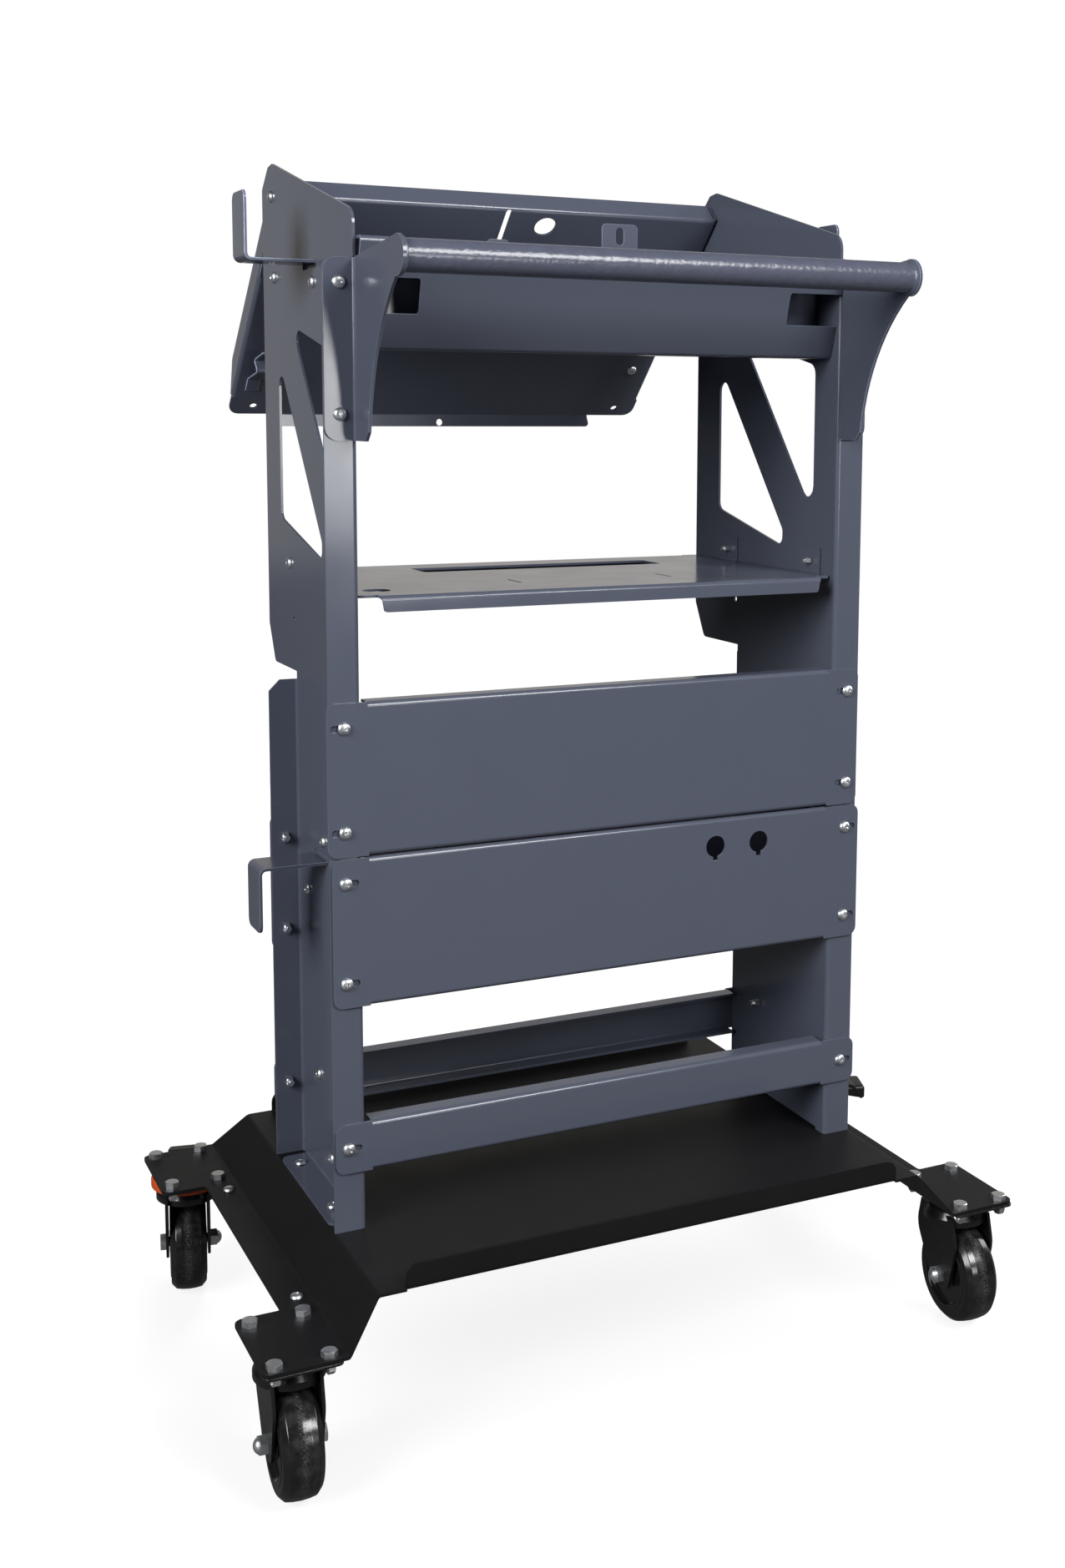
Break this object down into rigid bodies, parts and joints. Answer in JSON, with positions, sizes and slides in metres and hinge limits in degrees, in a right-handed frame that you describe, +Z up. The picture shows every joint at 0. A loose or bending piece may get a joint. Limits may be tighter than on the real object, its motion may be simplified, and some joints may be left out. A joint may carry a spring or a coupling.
{
  "type": "diagnostic tool cart",
  "caption": "Open-frame steel workshop cart with a handle, sloping device tray, shelf, front panels, cable hooks and a base on swivel casters.",
  "frame": {"origin": "on the floor, midway between the four swivel axes", "axes": "+X to the right seen from the handle side, +Y from the handle towards the tray, +Z up"},
  "size_m": [0.868, 0.6402, 1.1789],
  "materials": {
    "frame_paint": "satin powder coat, slate grey",
    "handle_paint": "hammered powder coat, slate grey",
    "base_paint": "fine textured black powder coat",
    "zinc": "bright zinc plating",
    "clip_steel": "satin powder coat",
    "caster_black": "gloss black lacquer",
    "wheel_nylon": "moulded nylon with a worn tread",
    "pedal_black": "moulded",
    "lock_orange": "moulded"
  },
  "bodies": {
    "root": {"base": "base_paint", "side_frame_left": "frame_paint", "side_frame_right": "frame_paint", "upper_panel": "frame_paint", "lower_panel": "frame_paint", "front_rail": "frame_paint", "rear_rail": "frame_paint", "rear_panel": "frame_paint", "shelf": "frame_paint", "top_box": "frame_paint", "device_tray": "frame_paint", "device_stop": "frame_paint", "tray_clips": "clip_steel", "handle_tube": "handle_paint", "handle_bracket_left": "frame_paint", "handle_bracket_right": "frame_paint", "upper_hook_left": "frame_paint", "upper_hook_right": "frame_paint", "lower_hook_left": "frame_paint", "lower_hook_right": "frame_paint", "panel_screws": "zinc", "panel_nuts": "zinc", "rail_screws": "zinc", "rail_nuts": "zinc", "bracket_screws": "zinc", "bracket_nuts": "zinc", "web_screws": "zinc", "web_nuts": "zinc", "foot_screws": "zinc", "foot_nuts": "zinc", "tray_screws": "zinc", "tray_nuts": "zinc", "caster_bolts": "zinc", "caster_nuts": "zinc", "kingpins": "zinc", "caster_plate_fl": "caster_black", "caster_plate_fr": "caster_black", "caster_plate_rl": "caster_black", "caster_plate_rr": "caster_black", "lock_ring_rl": "lock_orange", "lock_ring_rr": "lock_orange"},
    "fork_fl": {"fork_fl": "caster_black", "axle_fl": "zinc"},
    "wheel_fl": {"wheel_fl": "wheel_nylon"},
    "fork_fr": {"fork_fr": "caster_black", "axle_fr": "zinc"},
    "wheel_fr": {"wheel_fr": "wheel_nylon"},
    "fork_rl": {"fork_rl": "caster_black", "axle_rl": "zinc", "pedal_pins_rl": "zinc"},
    "wheel_rl": {"wheel_rl": "wheel_nylon"},
    "pedal_rl": {"brake_pedal_rl": "pedal_black"},
    "fork_rr": {"fork_rr": "caster_black", "axle_rr": "zinc", "pedal_pins_rr": "zinc"},
    "wheel_rr": {"wheel_rr": "wheel_nylon"},
    "pedal_rr": {"brake_pedal_rr": "pedal_black"}
  },
  "joints": [
    {"name": "swivel_fl", "type": "hinge", "parent": "root", "child": "fork_fl", "pos_m": [-0.3545, -0.197, 0.05], "axis": [0, 0, 1], "continuous": true},
    {"name": "spin_fl", "type": "hinge", "parent": "fork_fl", "child": "wheel_fl", "pos_m": [-0.35502, -0.20699, 0.05], "axis": [-0.9986, 0.0523, 0], "continuous": true},
    {"name": "swivel_fr", "type": "hinge", "parent": "root", "child": "fork_fr", "pos_m": [0.3545, -0.197, 0.05], "axis": [0, 0, 1], "continuous": true},
    {"name": "spin_fr", "type": "hinge", "parent": "fork_fr", "child": "wheel_fr", "pos_m": [0.3538, -0.20698, 0.05], "axis": [-0.9976, 0.0698, 0], "continuous": true},
    {"name": "swivel_rl", "type": "hinge", "parent": "root", "child": "fork_rl", "pos_m": [-0.3545, 0.197, 0.05], "axis": [0, 0, 1], "continuous": true},
    {"name": "spin_rl", "type": "hinge", "parent": "fork_rl", "child": "wheel_rl", "pos_m": [-0.35242, 0.20678, 0.05], "axis": [0.9781, -0.2079, 0], "continuous": true},
    {"name": "brake_rl", "type": "hinge", "parent": "fork_rl", "child": "pedal_rl", "pos_m": [-0.34473, 0.24297, 0.1], "axis": [0.9781, -0.2079, 0], "range_deg": [-12, 0]},
    {"name": "swivel_rr", "type": "hinge", "parent": "root", "child": "fork_rr", "pos_m": [0.3545, 0.197, 0.05], "axis": [0, 0, 1], "continuous": true},
    {"name": "spin_rr", "type": "hinge", "parent": "fork_rr", "child": "wheel_rr", "pos_m": [0.3639, 0.19358, 0.05], "axis": [-0.342, -0.9397, 0], "continuous": true},
    {"name": "brake_rr", "type": "hinge", "parent": "fork_rr", "child": "pedal_rr", "pos_m": [0.39867, 0.18093, 0.1], "axis": [-0.342, -0.9397, 0], "range_deg": [-12, 0]}
  ]
}
